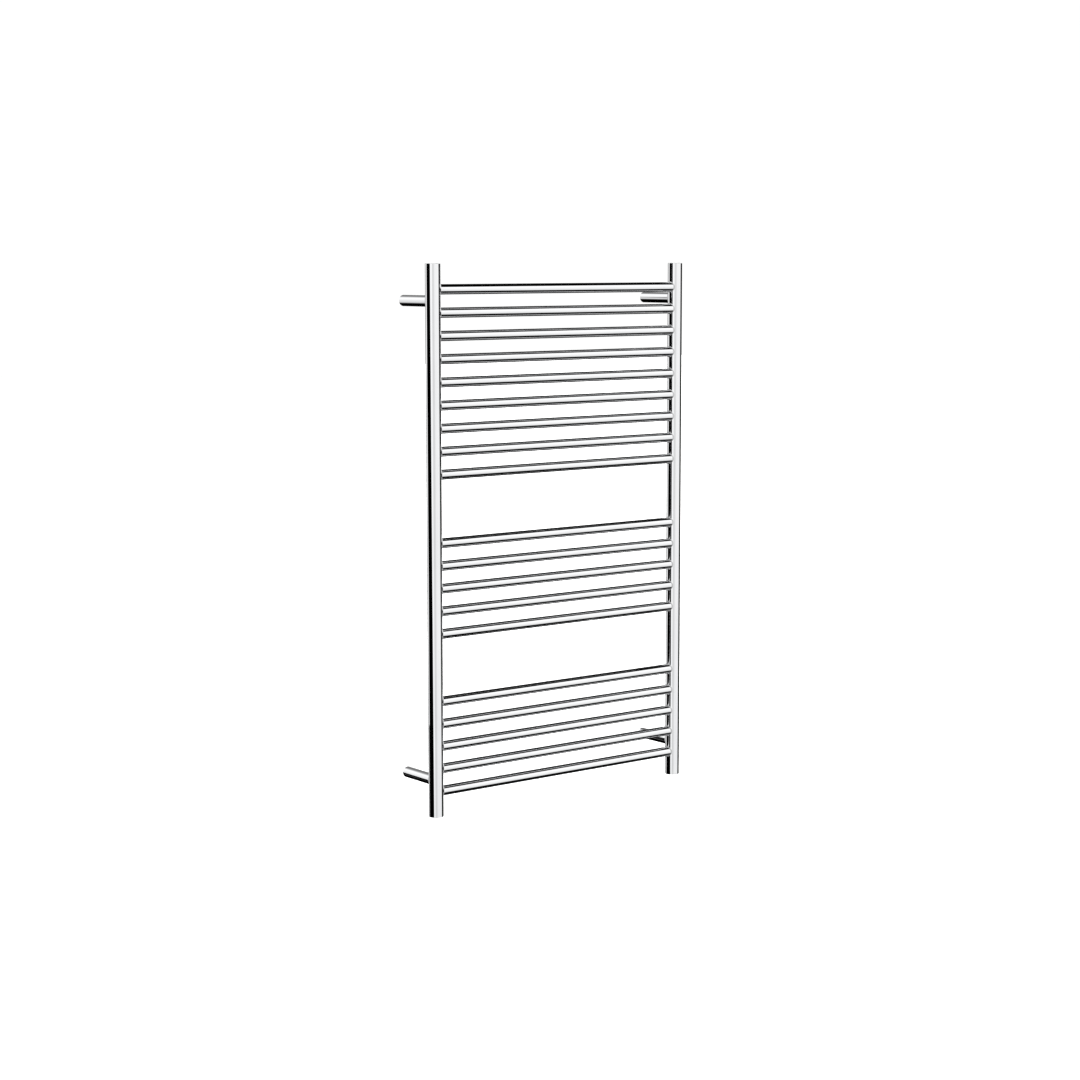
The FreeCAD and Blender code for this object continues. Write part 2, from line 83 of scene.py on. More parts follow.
RIM_STEPS = 6
EDGE_STEPS = 3
POST_SEGMENTS = 128
BAR_SEGMENTS = 96
SLEEVE_SEGMENTS = 96
WELD_SEGMENTS = 96
SCREW_SEGMENTS = 48

X_AXIS = Vector((1, 0, 0))
Y_AXIS = Vector((0, 1, 0))
Z_AXIS = Vector((0, 0, 1))


# --- camera -------------------------------------------------------------------------------------
# Angles in degrees, the lens in millimetres.

CAMERA_PLACE = (-2.8523, -3.7119, 0.5504)
CAMERA_YAW = 37.82
CAMERA_DOWN = 7.014
CAMERA_ROLL = -0.052
CAMERA_LENS = 75.746
SENSOR_WIDTH = 36.0


def make_camera():
    """Looks from the left of the rack, a little from above."""
    data = bpy.data.cameras.new("camera")
    data.lens = CAMERA_LENS
    data.sensor_width = SENSOR_WIDTH
    camera = bpy.data.objects.new("camera", data)
    yaw = Matrix.Rotation(math.radians(-CAMERA_YAW), 4, "Z")
    tilt = Matrix.Rotation(math.radians(90 - CAMERA_DOWN), 4, "X")
    roll = Matrix.Rotation(math.radians(CAMERA_ROLL), 4, "Z")
    camera.matrix_world = Matrix.Translation(Vector(CAMERA_PLACE)) @ yaw @ tilt @ roll
    bpy.context.scene.collection.objects.link(camera)
    bpy.context.scene.camera = camera


make_camera()


# --- studio -------------------------------------------------------------------------------------
# Angles are in degrees. The turn is the azimuth from the room side (-Y), positive towards +X; the
# rise is the elevation above the horizon; the side is the angle out of the plane x = 0.
# A wide white card stands in front and a pale backdrop behind, brightest behind the left of the
# rack, with black between them. A stop is an angle and the grey there. Each softbox has its glow,
# the degrees over which its edges blur and the spans that it covers, which run past 90 where it
# covers the zenith, nadir or side.

STUDIO_GLOW = 1.20
STUDIO_GAMMA = 0.85
PLAIN_WHITE = 1.03
STUDIO_TURNS = (
    (-180, 0.40),
    (-170, 0.62),
    (-162, 0.92),
    (-156, 0.95),
    (-146, 0.88),
    (-140, 0.90),
    (-138.5, 0.0),
    (-79, 0.0),
    (-76, 1.0),
    (-52, 0.98),
    (-41, 0.76),
    (-22, 0.76),
    (-8, 0.92),
    (60.5, 0.95),
    (62.5, 0.03),
    (160, 0.03),
    (180, 0.40),
)
FRONT_RISES = (
    (-90, 0.0),
    (-35, 0.0),
    (-30, 0.70),
    (-14, 0.84),
    (2, 0.90),
    (20, 0.97),
    (40, 1.0),
    (43, 0.0),
    (90, 0.0),
)
BACK_RISES = (
    (-90, 0.0),
    (-29, 0.0),
    (-20, 0.64),
    (-10, 0.82),
    (3, 0.88),
    (14, 1.0),
    (42, 1.0),
    (46, 0.0),
    (90, 0.0),
)
BACKDROP_FROM = 123.5
CARD_EDGE = -78.3
CARD_LEAN = 0.75
CARD_BLUR = 1.6
PANEL_TURN = -145
PANEL_AWAY = 3.2
PANEL_ACROSS = (-0.6, 0.15)
PANEL_HEIGHTS = (-2.1, -1.0)
PANEL_GREY = 0.0
PANEL_ROUGHNESS = 0.5
PANEL_GLOSS = 0.0
SOFTBOXES = (
    {"glow": 1.0, "blur": 6, "rise": (62, 120)},
    {"glow": 0.85, "blur": 3, "rise": (6, 70), "side": (44, 120)},
    {"glow": 0.85, "blur": 3, "rise": (6, 70), "side": (-120, -44)},
    {"glow": 0.45, "blur": 4, "rise": (-70, -18), "side": (44, 120)},
    {"glow": 0.45, "blur": 4, "rise": (-70, -18), "side": (-120, -44)},
    {"glow": 0.80, "blur": 4, "rise": (-15, 16), "turn": (118, 136)},
    {"glow": 0.25, "blur": 4, "rise": (-8, 12), "turn": (136, 142)},
    {"glow": 0.22, "blur": 6, "rise": (-2, 38), "turn": (142, 172)},
    {"glow": 0.05, "blur": 4, "rise": (-62, -17), "turn": (90, 146)},
    {"glow": 0.20, "blur": 4, "rise": (-62, -17), "turn": (90, 146), "side": (43, 120)},
    {"glow": 0.13, "blur": 6, "rise": (-62, -30), "turn": (-135, 33)},
    {"glow": 0.40, "blur": 6, "rise": (-120, -62)},
)
FLOOR_DROP = 0.75
FLOOR_HALF = 30.0
FLOOR_GREY = 0.9
FLOOR_ROUGHNESS = 0.9
FLOOR_GLOSS = 0.5
SUN_STRENGTH = 4.2
SUN_SPREAD = 40.0
SUN_PLACE = (0, 0, 4)


def grey_ramp(tree, angle, stops, half_turn):
    """Greys given at angles in degrees, blended in between; the angle is in radians."""
    place = tree.nodes.new("ShaderNodeMapRange")
    place.inputs["From Min"].default_value = -math.radians(half_turn)
    place.inputs["From Max"].default_value = math.radians(half_turn)
    tree.links.new(angle, place.inputs["Value"])
    ramp = tree.nodes.new("ShaderNodeValToRGB")
    elements = ramp.color_ramp.elements
    elements.remove(elements[-1])
    for index, (degrees, grey) in enumerate(stops):
        position = degrees / half_turn / 2 + 0.5
        element = elements[0] if index == 0 else elements.new(position)
        element.position = position
        element.color = (grey, grey, grey, 1)
    tree.links.new(place.outputs[0], ramp.inputs[0])
    return ramp.outputs[0]


def math_node(tree, operation, first, second=None):
    """The result of an operation on one or two sockets or numbers."""
    node = tree.nodes.new("ShaderNodeMath")
    node.operation = operation
    for socket, given in zip(node.inputs, (first, second)):
        if isinstance(given, bpy.types.NodeSocket):
            tree.links.new(given, socket)
        elif given is not None:
            socket.default_value = given
    return node.outputs[0]


def fade(tree, angle, edge, blur, before, after):
    """Goes from one value to another where an angle in radians passes an edge in degrees."""
    node = tree.nodes.new("ShaderNodeMapRange")
    node.interpolation_type = "SMOOTHSTEP"
    node.inputs["From Min"].default_value = math.radians(edge - blur / 2)
    node.inputs["From Max"].default_value = math.radians(edge + blur / 2)
    node.inputs["To Min"].default_value = before
    node.inputs["To Max"].default_value = after
    tree.links.new(angle, node.inputs["Value"])
    return node.outputs[0]


def span_mask(tree, angle, span, blur):
    """One where an angle lies within a span, fading to nought over the blur at its ends."""
    low, high = span
    from_middle = math_node(tree, "SUBTRACT", angle, math.radians((low + high) / 2))
    distance = math_node(tree, "ABSOLUTE", from_middle)
    return fade(tree, distance, (high - low) / 2, blur, 1, 0)


def card_mask(tree, turn, rise):
    """Nought left of the card's left edge, which leans to the right below the horizon."""
    depth = math_node(tree, "MAXIMUM", math_node(tree, "MULTIPLY", rise, -1.0), 0.0)
    lean = math_node(tree, "MULTIPLY", depth, CARD_LEAN)
    return fade(tree, math_node(tree, "SUBTRACT", turn, lean), CARD_EDGE, CARD_BLUR, 0, 1)


def make_studio():
    """A world whose brightness depends on the direction, and plain white behind everything."""
    world = bpy.data.worlds.new("studio")
    bpy.context.scene.world = world
    world.use_nodes = True
    tree = world.node_tree
    tree.nodes.clear()
    coordinates = tree.nodes.new("ShaderNodeTexCoord")
    direction = tree.nodes.new("ShaderNodeSeparateXYZ")
    tree.links.new(coordinates.outputs["Generated"], direction.inputs[0])
    room = math_node(tree, "MULTIPLY", direction.outputs["Y"], -1.0)
    angles = {
        "turn": math_node(tree, "ARCTAN2", direction.outputs["X"], room),
        "rise": math_node(tree, "ARCSINE", direction.outputs["Z"]),
        "side": math_node(tree, "ARCSINE", direction.outputs["X"]),
    }
    around = grey_ramp(tree, angles["turn"], STUDIO_TURNS, 180)
    front = grey_ramp(tree, angles["rise"], FRONT_RISES, 90)
    back = grey_ramp(tree, angles["rise"], BACK_RISES, 90)
    turned = math_node(tree, "ABSOLUTE", angles["turn"])
    behind = math_node(tree, "GREATER_THAN", turned, math.radians(BACKDROP_FROM))
    upright = tree.nodes.new("ShaderNodeMix")
    tree.links.new(behind, upright.inputs["Factor"])
    tree.links.new(front, upright.inputs["A"])
    tree.links.new(back, upright.inputs["B"])
    glow = math_node(tree, "MULTIPLY", around, upright.outputs["Result"])
    card = card_mask(tree, angles["turn"], angles["rise"])
    glow = math_node(tree, "MULTIPLY", glow, math_node(tree, "MAXIMUM", behind, card))
    for softbox in SOFTBOXES:
        light = softbox["glow"]
        for name, angle in angles.items():
            if name in softbox:
                mask = span_mask(tree, angle, softbox[name], softbox["blur"])
                light = math_node(tree, "MULTIPLY", mask, light)
        glow = math_node(tree, "MAXIMUM", glow, light)
    cards = tree.nodes.new("ShaderNodeBackground")
    cards.inputs["Strength"].default_value = STUDIO_GLOW
    tree.links.new(glow, cards.inputs["Color"])
    plain = tree.nodes.new("ShaderNodeBackground")
    plain.inputs["Color"].default_value = (1, 1, 1, 1)
    plain.inputs["Strength"].default_value = PLAIN_WHITE
    path = tree.nodes.new("ShaderNodeLightPath")
    mix = tree.nodes.new("ShaderNodeMixShader")
    tree.links.new(path.outputs["Is Camera Ray"], mix.inputs[0])
    tree.links.new(cards.outputs[0], mix.inputs[1])
    tree.links.new(plain.outputs[0], mix.inputs[2])
    output = tree.nodes.new("ShaderNodeOutputWorld")
    tree.links.new(mix.outputs[0], output.inputs["Surface"])
    bpy.context.scene.view_settings.view_transform = "Standard"
    bpy.context.scene.view_settings.gamma = STUDIO_GAMMA


def add_stage(name, corners, grey, roughness, gloss):
    """A flat four-cornered piece of the studio in one grey."""
    mesh = bpy.data.meshes.new(name)
    mesh.from_pydata(corners, [], [(0, 1, 2, 3)])
    piece = bpy.data.objects.new(name, mesh)
    bpy.context.scene.collection.objects.link(piece)
    material = bpy.data.materials.new(name)
    material.use_nodes = True
    shader = material.node_tree.nodes["Principled BSDF"]
    shader.inputs["Base Color"].default_value = (grey, grey, grey, 1)
    shader.inputs["Roughness"].default_value = roughness
    shader.inputs["Specular IOR Level"].default_value = gloss
    mesh.materials.append(material)
    return piece


def make_floor():
    """A pale floor well below the rack, which the polished steel doesn't mirror."""
    height = cad_box[0].z - FLOOR_DROP
    signs = ((-1, -1), (1, -1), (1, 1), (-1, 1))
    corners = [(x * FLOOR_HALF, y * FLOOR_HALF, height) for x, y in signs]
    floor = add_stage("floor", corners, FLOOR_GREY, FLOOR_ROUGHNESS, FLOOR_GLOSS)
    floor.visible_glossy = False


def make_panel():
    """A black panel under the backdrop's left end, which only reflections show."""
    turn = math.radians(PANEL_TURN)
    away = Vector((math.sin(turn), -math.cos(turn), 0))
    across = Vector((-math.cos(turn), -math.sin(turn), 0))
    low, high = PANEL_HEIGHTS
    corners = []
    for side, height in zip(PANEL_ACROSS + PANEL_ACROSS[::-1], (low, low, high, high)):
        corners.append(away * PANEL_AWAY + across * side + Z_AXIS * height)
    panel = add_stage("panel", corners, PANEL_GREY, PANEL_ROUGHNESS, PANEL_GLOSS)
    panel.visible_camera = False
    panel.visible_diffuse = False
    panel.visible_shadow = False


def make_sun():
    """Soft light from above that whitens the floor."""
    data = bpy.data.lights.new("overhead", "SUN")
    data.energy = SUN_STRENGTH
    data.angle = math.radians(SUN_SPREAD)
    sun = bpy.data.objects.new("overhead", data)
    sun.location = SUN_PLACE
    sun.visible_glossy = False
    bpy.context.scene.collection.objects.link(sun)


make_studio()
make_floor()
make_panel()
make_sun()


# --- materials ----------------------------------------------------------------------------------
# Patterns are noise, whose scales are per metre; the heights of bumps are in metres. A colour or a
# roughness is spread over the middle of the noise's range.

COLOUR_SPREAD = (0.35, 0.65)
ROUGHNESS_SPREAD = (0.3, 0.7)
STEEL_DULL = (0.895, 0.90, 0.91)
STEEL_BRIGHT = (0.93, 0.933, 0.94)


class Finish:
    """A material being built round one Principled shader, with helpers for its patterns."""

    def __init__(self, name, metallic):
        self.material = bpy.data.materials.new(name)
        self.material.use_nodes = True
        self.tree = self.material.node_tree
        self.shader = self.tree.nodes["Principled BSDF"]
        self.shader.inputs["Metallic"].default_value = metallic
        self.place = self.tree.nodes.new("ShaderNodeTexCoord").outputs["Object"]

    def noise(self, scales, detail=2.0, roughness=0.5):
        """Noise with its own scale along each axis."""
        mapping = self.tree.nodes.new("ShaderNodeMapping")
        mapping.inputs["Scale"].default_value = scales
        self.tree.links.new(self.place, mapping.inputs["Vector"])
        noise = self.tree.nodes.new("ShaderNodeTexNoise")
        noise.inputs["Scale"].default_value = 1.0
        noise.inputs["Detail"].default_value = detail
        noise.inputs["Roughness"].default_value = roughness
        self.tree.links.new(mapping.outputs[0], noise.inputs["Vector"])
        return noise.outputs["Fac"]

    def colour(self, pattern, first, second):
        """Blends the base colour between two colours by a pattern."""
        ramp = self.tree.nodes.new("ShaderNodeValToRGB")
        start, end = ramp.color_ramp.elements
        start.position, end.position = COLOUR_SPREAD
        start.color, end.color = (*first, 1), (*second, 1)
        self.tree.links.new(pattern, ramp.inputs[0])
        self.tree.links.new(ramp.outputs[0], self.shader.inputs["Base Color"])

    def roughness(self, pattern, first, second):
        """Spreads the roughness between two values by a pattern."""
        spread = self.tree.nodes.new("ShaderNodeMapRange")
        spread.inputs["From Min"].default_value = ROUGHNESS_SPREAD[0]
        spread.inputs["From Max"].default_value = ROUGHNESS_SPREAD[1]
        spread.inputs["To Min"].default_value = first
        spread.inputs["To Max"].default_value = second
        self.tree.links.new(pattern, spread.inputs["Value"])
        self.tree.links.new(spread.outputs[0], self.shader.inputs["Roughness"])

    def bump(self, *layers):
        """Stacks bumps, each a pattern and its height."""
        before = None
        for pattern, height in layers:
            bump = self.tree.nodes.new("ShaderNodeBump")
            bump.inputs["Distance"].default_value = height
            self.tree.links.new(pattern, bump.inputs["Height"])
            if before is not None:
                self.tree.links.new(before, bump.inputs["Normal"])
            before = bump.outputs[0]
        self.tree.links.new(before, self.shader.inputs["Normal"])


def stretched(axis, along, across):
    """Pattern scales: one value along an axis and another across it."""
    return tuple(along if axis[index] else across for index in range(3))


def even(scale):
    """Pattern scales that are the same along every axis."""
    return (scale, scale, scale)


def polished_steel(name, axis):
    """Mirror-polished tube: buffing lines round the tube, faint drawing waves and smears."""
    finish = Finish(name, metallic=1.0)
    smears = finish.noise(stretched(axis, along=9, across=55), detail=5.0, roughness=0.6)
    buffing = finish.noise(stretched(axis, along=2600, across=60), detail=3.0, roughness=0.7)
    waves = finish.noise(stretched(axis, along=14, across=40), detail=1.0)
    finish.colour(smears, STEEL_DULL, STEEL_BRIGHT)
    finish.roughness(smears, 0.035, 0.012)
    finish.bump((waves, 1.2e-5), (buffing, 1.0e-6))
    return finish.material


def weld_steel():
    """Weld metal blended and polished by hand: softer and a little uneven."""
    finish = Finish("weld_steel", metallic=1.0)
    blend = finish.noise(even(320), detail=3.0)
    smears = finish.noise(even(60), detail=4.0, roughness=0.6)
    finish.colour(smears, (0.66, 0.662, 0.668), (0.74, 0.742, 0.748))
    finish.roughness(blend, 0.03, 0.09)
    finish.bump((blend, 1.5e-5))
    return finish.material


def turned_steel():
    """Lathe-turned steel: fine rings along the turned length, a satin shine."""
    finish = Finish("turned_steel", metallic=1.0)
    rings = finish.noise(stretched(Y_AXIS, along=5200, across=60), detail=2.0, roughness=0.6)
    patches = finish.noise(even(140), detail=4.0, roughness=0.6)
    finish.colour(patches, (0.60, 0.605, 0.61), (0.72, 0.725, 0.73))
    finish.roughness(rings, 0.24, 0.38)
    finish.bump((rings, 6.0e-6))
    return finish.material


def screw_steel():
    """Plain stainless set screw, slightly darker in its worn patches."""
    finish = Finish("screw_steel", metallic=1.0)
    patches = finish.noise(even(700), detail=4.0, roughness=0.6)
    grain = finish.noise(even(2600))
    finish.colour(patches, (0.38, 0.38, 0.39), (0.55, 0.55, 0.56))
    finish.roughness(patches, 0.42, 0.26)
    finish.bump((grain, 4.0e-6))
    return finish.material


def moulded(name, dark, light, roughness, grain_scale, grain_height):
    """A moulded or extruded material with a fine grain and slight colour variation."""
    finish = Finish(name, metallic=0.0)
    patches = finish.noise(even(90), detail=4.0, roughness=0.6)
    grain = finish.noise(even(grain_scale), detail=3.0, roughness=0.6)
    finish.colour(patches, dark, light)
    finish.roughness(grain, *roughness)
    finish.bump((grain, grain_height))
    return finish.material


STEEL_ALONG_X = polished_steel("polished_steel_rungs", X_AXIS)
STEEL_ALONG_Y = polished_steel("polished_steel_brackets", Y_AXIS)
STEEL_ALONG_Z = polished_steel("polished_steel_posts", Z_AXIS)
STEEL_CAPS = polished_steel("polished_steel_caps", Z_AXIS)
WELD = weld_steel()
TURNED = turned_steel()
SCREW = screw_steel()
HEATING = moulded(
    "heating_sheath",
    dark=(0.16, 0.012, 0.008),
    light=(0.22, 0.02, 0.012),
    roughness=(0.42, 0.6),
    grain_scale=2200,
    grain_height=1.5e-5,
)
LEAD = moulded(
    "lead_sheath",
    dark=(0.013, 0.013, 0.014),
    light=(0.024, 0.024, 0.025),
    roughness=(0.45, 0.62),
    grain_scale=2200,
    grain_height=1.5e-5,
)
FITTING = moulded(
    "fitting_sleeve",
    dark=(0.01, 0.01, 0.01),
    light=(0.02, 0.02, 0.021),
    roughness=(0.35, 0.55),
    grain_scale=900,
    grain_height=3.0e-5,
)
TERMINAL = moulded(
    "terminal_plastic",
    dark=(0.68, 0.67, 0.62),
    light=(0.76, 0.75, 0.71),
    roughness=(0.38, 0.52),
    grain_scale=3000,
    grain_height=8.0e-6,
)
RUBBER = moulded(
    "grommet_rubber",
    dark=(0.015, 0.015, 0.015),
    light=(0.028, 0.028, 0.029),
    roughness=(0.6, 0.8),
    grain_scale=1800,
    grain_height=1.5e-5,
)


# --- mesh tools ---------------------------------------------------------------------------------


CREASE = 35


def circle(radius, height, count):
    """Points round the local Z axis; radius is a number, or a function of the angle."""
    points = []
    for index in range(count):
        angle = 2 * math.pi * index / count
        reach = radius(angle) if callable(radius) else radius
        points.append(Vector((reach * math.cos(angle), reach * math.sin(angle), height)))
    return points


def add_loft(mesh, loops, closed, placement=Matrix.Identity(4)):
    """Skins a bmesh through loops of equally many points; a loop of one point is a pole."""
    rows = [[mesh.verts.new(placement @ point) for point in loop] for loop in loops]
    pairs = list(zip(rows, rows[1:]))
    if closed:
        pairs.append((rows[-1], rows[0]))
    for low, high in pairs:
        count = max(len(low), len(high))
        for index in range(count):
            after = (index + 1) % count
            if len(low) == 1:
                corners = (low[0], high[after], high[index])
            elif len(high) == 1:
                corners = (low[index], low[after], high[0])
            else:
                corners = (low[index], low[after], high[after], high[index])
            mesh.faces.new(corners)


def lathe(profile, count):
    """Loops about the local Z axis through radius and height pairs; radius 0 is a pole."""
    loops = []
    for radius, height in profile:
        loops.append([Vector((0, 0, height))] if radius == 0 else circle(radius, height, count))
    return loops


def rod(radius, length):
    """The profile of a closed rod that starts at the local origin."""
    return [(0, 0), (radius, 0), (radius, length), (0, length)]


def add_box(mesh, middle, span):
    """Adds a closed box by its middle and its three sizes."""
    cube = bmesh.ops.create_cube(mesh, size=1.0)
    stretch = Matrix.Translation(middle) @ Matrix.Diagonal((*span, 1))
    bmesh.ops.transform(mesh, matrix=stretch, verts=cube["verts"])


def rounded(corners, radius, steps):
    """A profile whose corners given with True are rounded by an arc of up to the radius."""
    profile = []
    count = len(corners)
    for index, (x, y, soften) in enumerate(corners):
        here = Vector((x, y))
        if not soften:
            profile.append((x, y))
            continue
        before = Vector(corners[index - 1][:2]) - here
        after = Vector(corners[(index + 1) % count][:2]) - here
        half = before.angle(after) / 2
        reach = min(radius / math.tan(half), before.length / 2, after.length / 2)
        size = reach * math.tan(half)
        centre = here + (before.normalized() + after.normalized()).normalized() * (
            size / math.sin(half)
        )
        start = here + before.normalized() * reach - centre
        end = here + after.normalized() * reach - centre
        for step in range(steps + 1):
            part = step / steps
            spoke = (start * (1 - part) + end * part).normalized() * size
            profile.append(tuple(centre + spoke))
    return profile


def shade(data, crease=CREASE):
    """Smooth shading, with edges past an angle in degrees left sharp."""
    data.shade_smooth()
    data.set_sharp_from_angle(angle=math.radians(crease))


def to_mesh(mesh, name):
    """Turns a bmesh into a mesh whose faces all look outward."""
    bmesh.ops.recalc_face_normals(mesh, faces=mesh.faces)
    data = bpy.data.meshes.new(name)
    mesh.to_mesh(data)
    mesh.free()
    return data


def finish_mesh(mesh, name, crease=CREASE):
    """Turns a bmesh into a shaded mesh."""
    data = to_mesh(mesh, name)
    shade(data, crease)
    return data


def add_piece(name, data, nodes, body, material):
    """Puts a finished mesh in the scene in place of its CAD nodes."""
    piece = bpy.data.objects.new(name, data)
    bpy.context.scene.collection.objects.link(piece)
    data.materials.clear()
    data.materials.append(material)
    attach(piece, body)
    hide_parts(*nodes)
    return piece


def cut(data, name, add_cutters):
    """Takes closed cutter shapes out of a mesh and returns the new mesh."""
    cutters = bmesh.new()
    add_cutters(cutters)
    cutter_data = to_mesh(cutters, "cutters")
    blank = bpy.data.objects.new("blank", data)
    cutter = bpy.data.objects.new("cutter", cutter_data)
    for obj in (blank, cutter):
        bpy.context.scene.collection.objects.link(obj)
    modifier = blank.modifiers.new("cut", "BOOLEAN")
    modifier.operation = "DIFFERENCE"
    modifier.solver = "EXACT"
    modifier.object = cutter
    graph = bpy.context.evaluated_depsgraph_get()
    result = bpy.data.meshes.new_from_object(blank.evaluated_get(graph))
    result.name = name
    for obj in (blank, cutter):
        bpy.data.objects.remove(obj)
    bpy.data.meshes.remove(cutter_data)
    return result


# How near a cylinder a face has to lie, and how squarely it has to face its axis, to be its own.
ON_CYLINDER = 0.06 * MM
FACING_AXIS = 0.99


def away_from(point, origin, direction):
    """The vector from an axis to a point, square to the axis."""
    offset = point - origin
    return offset - direction * offset.dot(direction)


def shade_round(data, cylinders, crease=CREASE):
    """Gives each face that lies on one of the cylinders that cylinder's exact normals."""
    shade(data, crease)
    normals = [corner.vector.copy() for corner in data.corner_normals]
    for face in data.polygons:
        for origin, direction, radius in cylinders:
            outward = away_from(face.center, origin, direction)
            if abs(outward.length - radius) > ON_CYLINDER:
                continue
            facing = outward.normalized().dot(face.normal)
            if abs(facing) < FACING_AXIS:
                continue
            sign = math.copysign(1.0, facing)
            for corner in face.loop_indices:
                vertex = data.vertices[data.loops[corner].vertex_index].co
                normals[corner] = away_from(vertex, origin, direction).normalized() * sign
            break
    data.normals_split_custom_set(normals)


def centre_of(node):
    """The middle of a CAD node's box."""
    low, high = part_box(node)
    return (low + high) / 2


def span_of(node):
    """The three sizes of a CAD node's box."""
    low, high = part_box(node)
    return high - low


def moved_to(x, y, z):
    """The placement that takes the local origin to a point."""
    return Matrix.Translation(Vector((x, y, z)))


def turned_to(axis):
    """The rotation that takes the local Z axis to a given axis."""
    return axis.to_track_quat("Z", "Y").to_matrix().to_4x4()


# --- posts --------------------------------------------------------------------------------------

POST_RADIUS = span_of("post_left").x / 2
BAR_RADIUS = span_of("bar_01").y / 2
SLEEVE_RADIUS = span_of("bracket_sleeve_upper_left").x / 2
POST_ALONG = centre_of("bar_01").y
BAR_HEIGHTS = [centre_of(bar).z for bar in BARS]


def tube_profile(outer, wall, stations):
    """A closed profile: up the outside through all stations and back down the bore."""
    inner = outer - wall
    return [(outer, height) for height in stations] + [
        (inner, stations[-1]),
        (inner, stations[0]),
    ]


def make_post(side):
    """The post tube, open at every rung, and at the wire hole in the wired post."""
    node = f"post_{side}"
    low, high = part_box(node)
    across = (low.x + high.x) / 2
    axis = Vector((across, POST_ALONG, 0))
    inward = -X_AXIS if side == "right" else X_AXIS
    stations = [low.z]
    for below, above in zip(reversed(BAR_HEIGHTS[1:]), reversed(BAR_HEIGHTS[:-1])):
        stations.append((below + above) / 2)
    stations.append(high.z)
    blank = bmesh.new()
    profile = tube_profile(POST_RADIUS, POST_WALL, stations)
    add_loft(blank, lathe(profile, POST_SEGMENTS), True, Matrix.Translation(axis))
    data = finish_mesh(blank, f"{node}_blank")
    holes = [(height, inward, BAR_RADIUS) for height in BAR_HEIGHTS]
    if side == WIRED[1]:
        holes.append((centre_of("wire_grommet").z, Y_AXIS, WIRE_HOLE_RADIUS))

    def add_holes(cutters):
        for height, direction, radius in holes:
            place = moved_to(across, POST_ALONG, height) @ turned_to(direction)
            profile = rod(radius, 2 * POST_RADIUS)
            add_loft(cutters, lathe(profile, BAR_SEGMENTS), False, place)

    data = cut(data, f"{node}_tube", add_holes)
    cylinders = [(axis, Z_AXIS, POST_RADIUS), (axis, Z_AXIS, POST_RADIUS - POST_WALL)]
    for height, direction, radius in holes:
        cylinders.append((Vector((across, POST_ALONG, height)), direction, radius))
    shade_round(data, cylinders)
    add_piece(f"{node}_tube", data, [node], RACK, STEEL_ALONG_Z)


def make_cap(end, side):
    """A flat end cap with a rounded rim and a plug inside the post."""
    node = f"cap_{end}_{side}"
    low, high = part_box(node)
    centre = (low + high) / 2
    depth = high.z - low.z
    plug_radius = POST_RADIUS - POST_WALL - FIT_GAP
    outline = [
        (0, 0, False),
        (plug_radius, 0, True),
        (plug_radius, depth - CAP_THICKNESS, False),
        (POST_RADIUS, depth - CAP_THICKNESS, False),
        (POST_RADIUS, depth, True),
        (0, depth, False),
    ]
    profile = rounded(outline, CAP_RIM, RIM_STEPS)
    place = moved_to(centre.x, centre.y, low.z)
    if end == "bottom":
        place = moved_to(centre.x, centre.y, high.z) @ Matrix.Rotation(math.pi, 4, "X")
    cap = bmesh.new()
    add_loft(cap, lathe(profile, POST_SEGMENTS), False, place)
    data = finish_mesh(cap, f"{node}_disc")
    add_piece(f"{node}_disc", data, [node], RACK, STEEL_CAPS)


# --- rungs --------------------------------------------------------------------------------------

BAR_STATIONS = 13


def make_bar(node):
    """One rung tube with square ends just inside the posts."""
    low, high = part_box(node)
    centre = (low + high) / 2
    length = high.x - low.x
    stations = [length * (index / (BAR_STATIONS - 1) - 0.5) for index in range(BAR_STATIONS)]
    bar = bmesh.new()
    profile = tube_profile(BAR_RADIUS, BAR_WALL, stations)
    place = Matrix.Translation(centre) @ turned_to(X_AXIS)
    add_loft(bar, lathe(profile, BAR_SEGMENTS), True, place)
    data = finish_mesh(bar, f"{node}_tube")
    add_piece(f"{node}_tube", data, [node], RACK, STEEL_ALONG_X)


# --- welds --------------------------------------------------------------------------------------

FILLET_STEPS = 8
FILLET_PULL = 0.62
WELD_CREASE = 50

# The leg's share of its full length, and the waves in it round a joint: the size of each, how
# many go round and how far its phase moves from one joint to the next.
LEG_SHARE = 0.94
LEG_WAVES = ((0.035, 3, 1.7), (0.02, 7, 2.9))


def weld_leg(angle, number):
    """The leg of a hand-blended fillet, which varies a little round each joint."""
    share = LEG_SHARE
    for size, count, shift in LEG_WAVES:
        share += size * math.sin(count * angle + shift * number)
    return WELD_LEG * share


def on_post(arc, height):
    """A point of the post's surface from its unrolled place."""
    angle = arc / POST_RADIUS
    return Vector((POST_RADIUS * math.cos(angle), POST_RADIUS * math.sin(angle), height))


